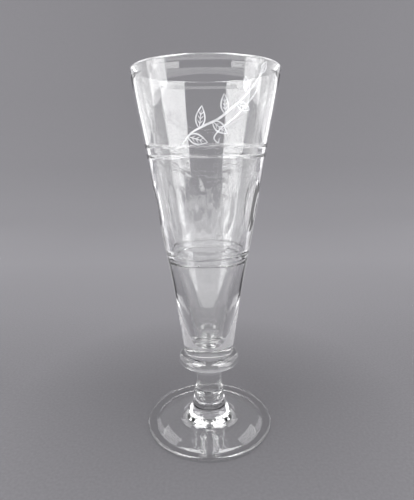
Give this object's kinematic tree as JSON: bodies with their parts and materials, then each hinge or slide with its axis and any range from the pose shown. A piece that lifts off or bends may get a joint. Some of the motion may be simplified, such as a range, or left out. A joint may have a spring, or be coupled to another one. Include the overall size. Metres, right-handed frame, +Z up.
{
  "type": "pastis glass",
  "caption": "Tall conical stemmed drinking glass of clear cut glass with a thick solid lower wall, ring lines, oval cuts, a round collar and a domed foot.",
  "frame": {"origin": "centre of the foot's underside, on the surface that the glass stands on", "axes": "+Z up along the axis of the glass, -Y towards the front as pictured, +X to the right"},
  "size_m": [0.0792, 0.0792, 0.21],
  "materials": {
    "clear_glass": "polished"
  },
  "bodies": {
    "root": {"foot": "clear_glass", "button": "clear_glass", "stem": "clear_glass", "collar": "clear_glass", "bowl": "clear_glass"}
  },
  "joints": []
}
